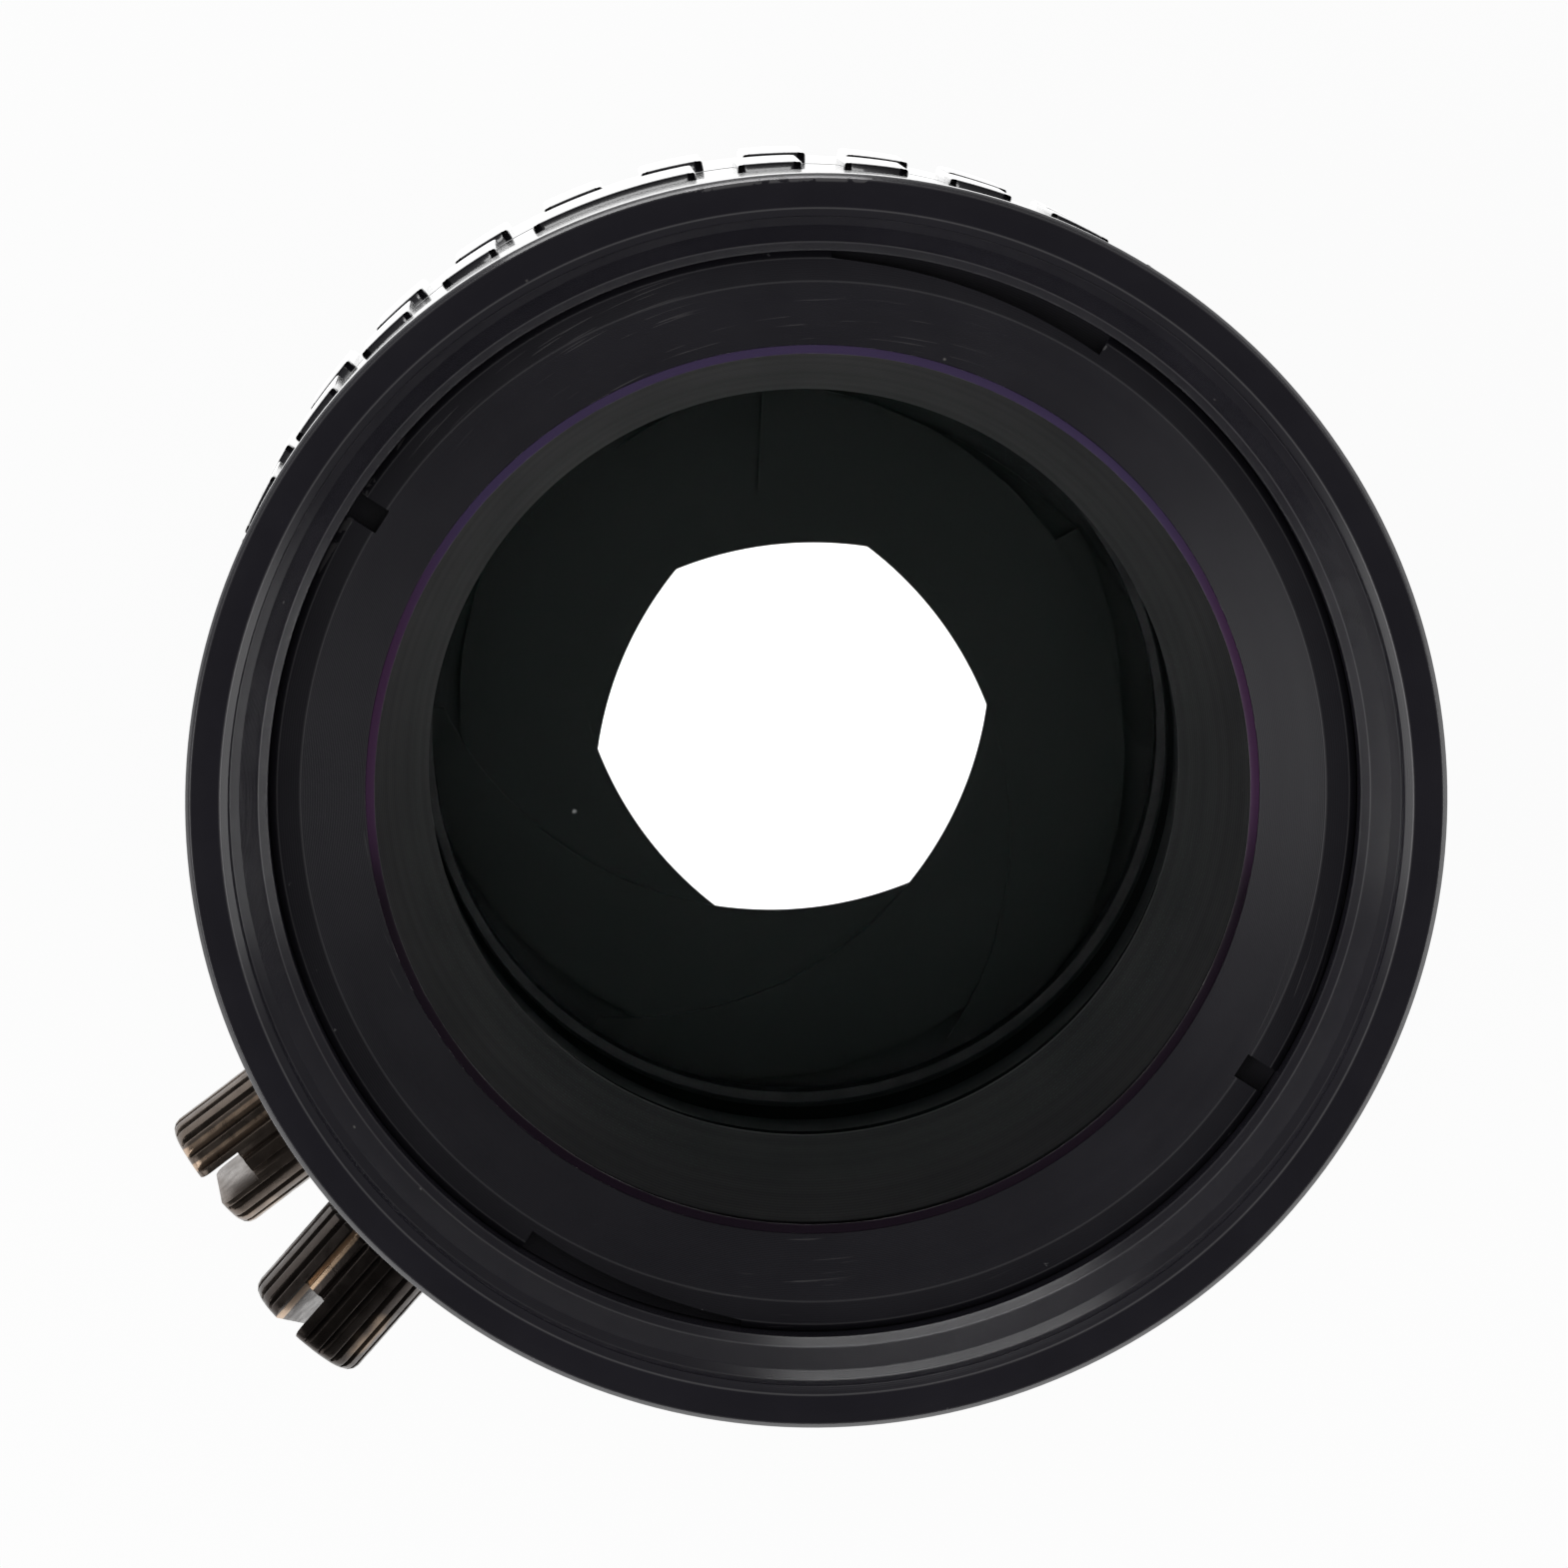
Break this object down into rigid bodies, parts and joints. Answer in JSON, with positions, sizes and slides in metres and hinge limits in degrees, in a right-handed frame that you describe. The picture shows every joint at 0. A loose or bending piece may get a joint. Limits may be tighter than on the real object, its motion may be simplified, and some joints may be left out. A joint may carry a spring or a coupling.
{
  "type": "c-mount machine vision lens",
  "caption": "Fixed focal length C-mount lens with a threaded front rim, focus and iris rings with raised grip pads, two lock screws and a six-blade iris.",
  "frame": {"origin": "centre of the C-mount seat face, on the optical axis", "axes": "+Z along the optical axis out of the front glass; +X at the first iris blade's pivot"},
  "size_m": [0.0394, 0.0383, 0.04],
  "materials": {
    "anodised_black": "black anodised, satin",
    "anodised_matte": "black anodised, matte",
    "lens_glass": "polished, coated",
    "black_nickel": "black nickel plated",
    "helicoid_brass": "turned",
    "cam_steel": "blackened steel",
    "blade_steel": "matte black",
    "pad_nylon": "moulded"
  },
  "bodies": {
    "root": {"mount_barrel": "anodised_black", "mount_set_screws": "cam_steel", "main_barrel": "anodised_matte", "guide_pin": "cam_steel", "focus_stop_pin": "cam_steel", "focus_retaining_ring": "anodised_matte"},
    "focus_ring": {"focus_ring": "anodised_black", "helicoid_nut": "helicoid_brass"},
    "focus_lock_pad": {"focus_lock_pad": "pad_nylon"},
    "focus_lock_screw": {"focus_lock_screw": "black_nickel"},
    "lens_unit": {"front_barrel": "anodised_black", "optics_barrel": "anodised_matte", "front_retaining_ring": "anodised_black", "front_element": "lens_glass", "front_spacer": "anodised_matte", "second_element": "lens_glass", "group_spacer": "anodised_matte", "front_doublet_crown": "lens_glass", "front_doublet_flint": "lens_glass", "iris_base_plate": "anodised_matte", "rear_cell": "anodised_matte", "rear_doublet_flint": "lens_glass", "rear_doublet_crown": "lens_glass", "rear_spacer": "anodised_matte", "rear_element": "lens_glass", "rear_retaining_ring": "anodised_matte"},
    "iris_ring": {"iris_ring": "anodised_black"},
    "iris_lock_pad": {"iris_lock_pad": "pad_nylon"},
    "iris_lock_screw": {"iris_lock_screw": "black_nickel"},
    "iris_cam": {"iris_cam_ring": "cam_steel", "iris_drive_pin": "cam_steel"},
    "blade_1": {"iris_blade_1": "blade_steel"},
    "blade_2": {"iris_blade_2": "blade_steel"},
    "blade_3": {"iris_blade_3": "blade_steel"},
    "blade_4": {"iris_blade_4": "blade_steel"},
    "blade_5": {"iris_blade_5": "blade_steel"},
    "blade_6": {"iris_blade_6": "blade_steel"}
  },
  "joints": [
    {"name": "focus_turn", "type": "hinge", "parent": "root", "child": "focus_ring", "pos_m": [0, 0, 0.024], "axis": [0, 0, 1], "range_deg": [0, 180]},
    {"name": "focus_slide", "type": "slide", "parent": "root", "child": "lens_unit", "axis": [0, 0, 1], "range_m": [0, 0.003]},
    {"name": "focus_lock_travel", "type": "slide", "parent": "focus_ring", "child": "focus_lock_pad", "axis": [-0.66, -0.7513, 0], "range_m": [-0.0001388, 0.0006]},
    {"name": "focus_lock_turn", "type": "hinge", "parent": "focus_lock_pad", "child": "focus_lock_screw", "pos_m": [-0.01346, -0.01533, 0.0237], "axis": [-0.66, -0.7513, 0], "range_deg": [-125, 540]},
    {"name": "iris_turn", "type": "hinge", "parent": "root", "child": "iris_ring", "pos_m": [0, 0, 0.015], "axis": [0, 0, 1], "range_deg": [-11.67, 30.33]},
    {"name": "iris_lock_travel", "type": "slide", "parent": "iris_ring", "child": "iris_lock_pad", "axis": [-0.7965, -0.6046, 0], "range_m": [-0.0001388, 0.0006]},
    {"name": "iris_lock_turn", "type": "hinge", "parent": "iris_lock_pad", "child": "iris_lock_screw", "pos_m": [-0.01625, -0.01233, 0.015], "axis": [-0.7965, -0.6046, 0], "range_deg": [-125, 540]},
    {"name": "cam_turn", "type": "hinge", "parent": "lens_unit", "child": "iris_cam", "pos_m": [0, 0, 0.0146], "axis": [0, 0, 1], "range_deg": [-11.7, 30.4]},
    {"name": "blade_1_swing", "type": "hinge", "parent": "lens_unit", "child": "blade_1", "pos_m": [0.01315, 0, 0.0135], "axis": [0, 0, 1], "range_deg": [-7.7, 19.9]},
    {"name": "blade_2_swing", "type": "hinge", "parent": "lens_unit", "child": "blade_2", "pos_m": [0.00658, 0.01139, 0.0135], "axis": [0, 0, 1], "range_deg": [-7.7, 19.9]},
    {"name": "blade_3_swing", "type": "hinge", "parent": "lens_unit", "child": "blade_3", "pos_m": [-0.00658, 0.01139, 0.0135], "axis": [0, 0, 1], "range_deg": [-7.7, 19.9]},
    {"name": "blade_4_swing", "type": "hinge", "parent": "lens_unit", "child": "blade_4", "pos_m": [-0.01315, 0, 0.0135], "axis": [0, 0, 1], "range_deg": [-7.7, 19.9]},
    {"name": "blade_5_swing", "type": "hinge", "parent": "lens_unit", "child": "blade_5", "pos_m": [-0.00658, -0.01139, 0.0135], "axis": [0, 0, 1], "range_deg": [-7.7, 19.9]},
    {"name": "blade_6_swing", "type": "hinge", "parent": "lens_unit", "child": "blade_6", "pos_m": [0.00658, -0.01139, 0.0135], "axis": [0, 0, 1], "range_deg": [-7.7, 19.9]}
  ],
  "couplings": [
    {"joint": "focus_turn", "follows": "focus_slide", "rad_per_m": 1047.2},
    {"joint": "focus_lock_turn", "follows": "focus_lock_travel", "rad_per_m": 15708},
    {"joint": "iris_lock_turn", "follows": "iris_lock_travel", "rad_per_m": 15708},
    {"joint": "cam_turn", "follows": "iris_turn", "ratio": 1},
    {"joint": "blade_1_swing", "follows": "iris_turn", "ratio": 0.65476},
    {"joint": "blade_2_swing", "follows": "iris_turn", "ratio": 0.65476},
    {"joint": "blade_3_swing", "follows": "iris_turn", "ratio": 0.65476},
    {"joint": "blade_4_swing", "follows": "iris_turn", "ratio": 0.65476},
    {"joint": "blade_5_swing", "follows": "iris_turn", "ratio": 0.65476},
    {"joint": "blade_6_swing", "follows": "iris_turn", "ratio": 0.65476}
  ]
}
